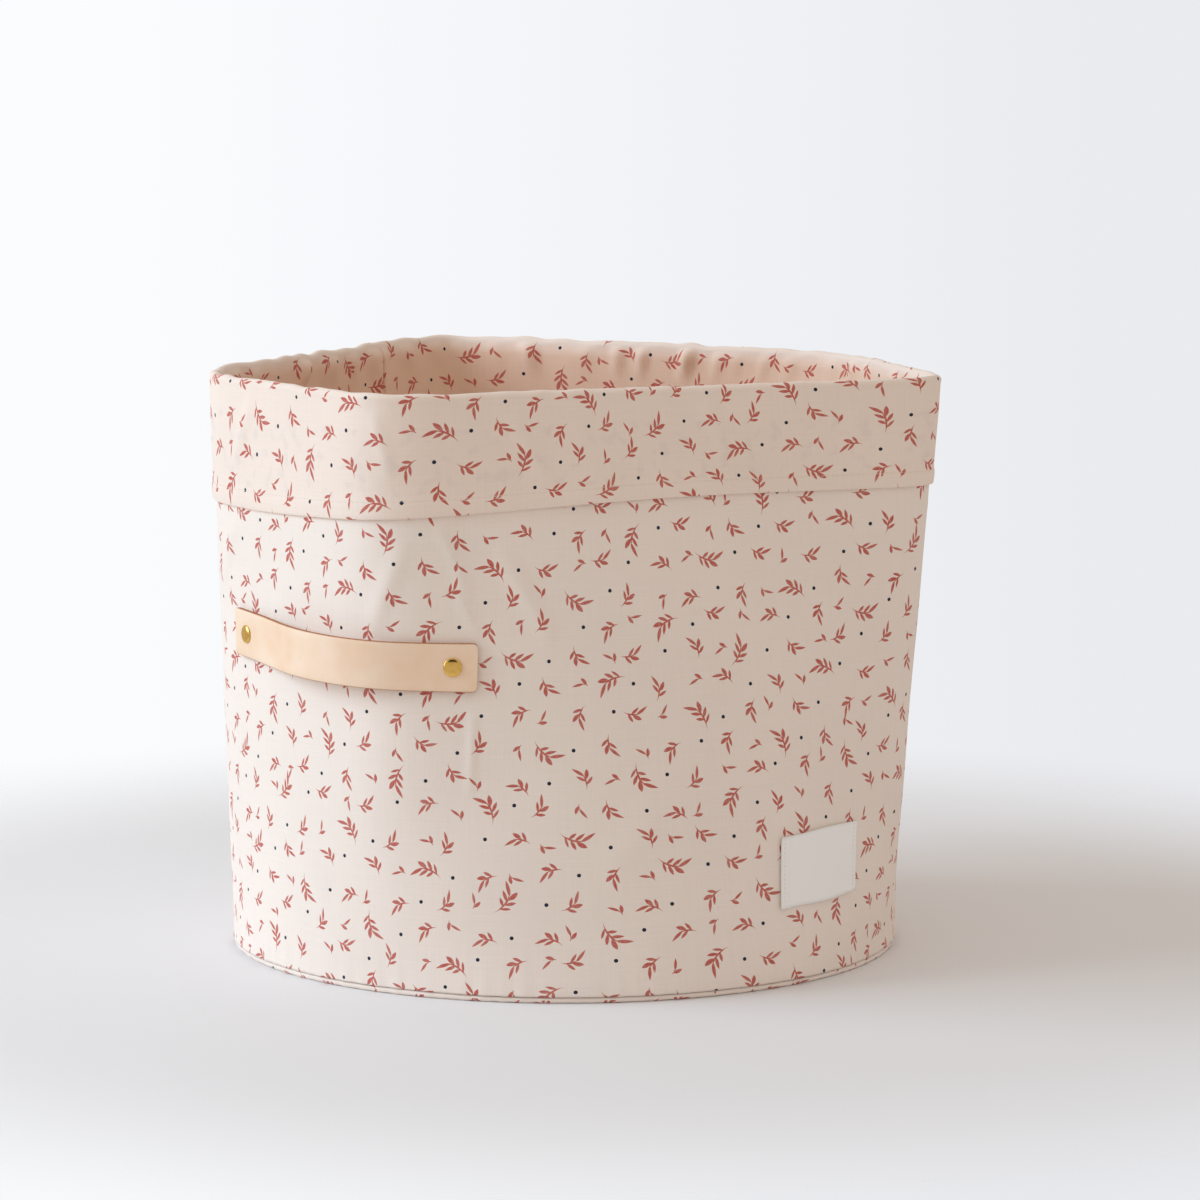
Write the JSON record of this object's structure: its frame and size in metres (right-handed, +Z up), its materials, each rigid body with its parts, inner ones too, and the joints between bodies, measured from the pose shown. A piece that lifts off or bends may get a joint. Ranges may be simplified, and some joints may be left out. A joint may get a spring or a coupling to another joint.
{
  "type": "fabric storage bin",
  "caption": "Round storage bin of printed cotton over a stiff wall, with a folded-down cuff, a sewn side label and leather pull handles held by brass rivets.",
  "frame": {"origin": "centre of the round base, on the floor face", "axes": "+Z up, -Y towards the side with the label, -X towards the left handle"},
  "size_m": [0.3972, 0.3922, 0.33],
  "materials": {
    "printed_cotton": "plain-woven cotton printed with small leaf sprigs and dots",
    "lining_cotton": "the same printed cotton, seen from inside",
    "fibre_board": "stiff pressed fibre sheet, not visible",
    "vegetable_leather": "natural vegetable-tanned leather, smooth, with raw cut edges",
    "brass": "polished",
    "label_cloth": "woven white tape",
    "cotton_thread": "sewing thread"
  },
  "bodies": {
    "bin": {"outer_wall": "printed_cotton", "outer_base": "printed_cotton", "base_seam_roll": "printed_cotton", "cuff": "printed_cotton", "lining_wall": "lining_cotton", "lining_base": "lining_cotton", "wall_stiffener": "fibre_board", "base_board": "fibre_board", "left_strap_rear_tab": "vegetable_leather", "left_strap_front_tab": "vegetable_leather", "left_rear_rivet_washer": "vegetable_leather", "left_front_rivet_washer": "vegetable_leather", "right_strap_rear_tab": "vegetable_leather", "right_strap_front_tab": "vegetable_leather", "right_rear_rivet_washer": "vegetable_leather", "right_front_rivet_washer": "vegetable_leather", "left_rear_rivet_cap": "brass", "left_rear_rivet_back": "brass", "left_front_rivet_cap": "brass", "left_front_rivet_back": "brass", "right_rear_rivet_cap": "brass", "right_rear_rivet_back": "brass", "right_front_rivet_cap": "brass", "right_front_rivet_back": "brass", "side_label": "label_cloth", "cuff_hem_stitching": "cotton_thread", "side_label_left_stitching": "cotton_thread", "side_label_right_stitching": "cotton_thread"},
    "left_grip": {"left_strap_grip": "vegetable_leather"},
    "right_grip": {"right_strap_grip": "vegetable_leather"}
  },
  "joints": [
    {"name": "left_grip_pull", "type": "slide", "parent": "bin", "child": "left_grip", "axis": [-1, 0, 0], "range_m": [0, 0.012], "stiffness_N_per_m": 150},
    {"name": "right_grip_pull", "type": "slide", "parent": "bin", "child": "right_grip", "axis": [1, 0, 0], "range_m": [0, 0.012], "stiffness_N_per_m": 150}
  ]
}
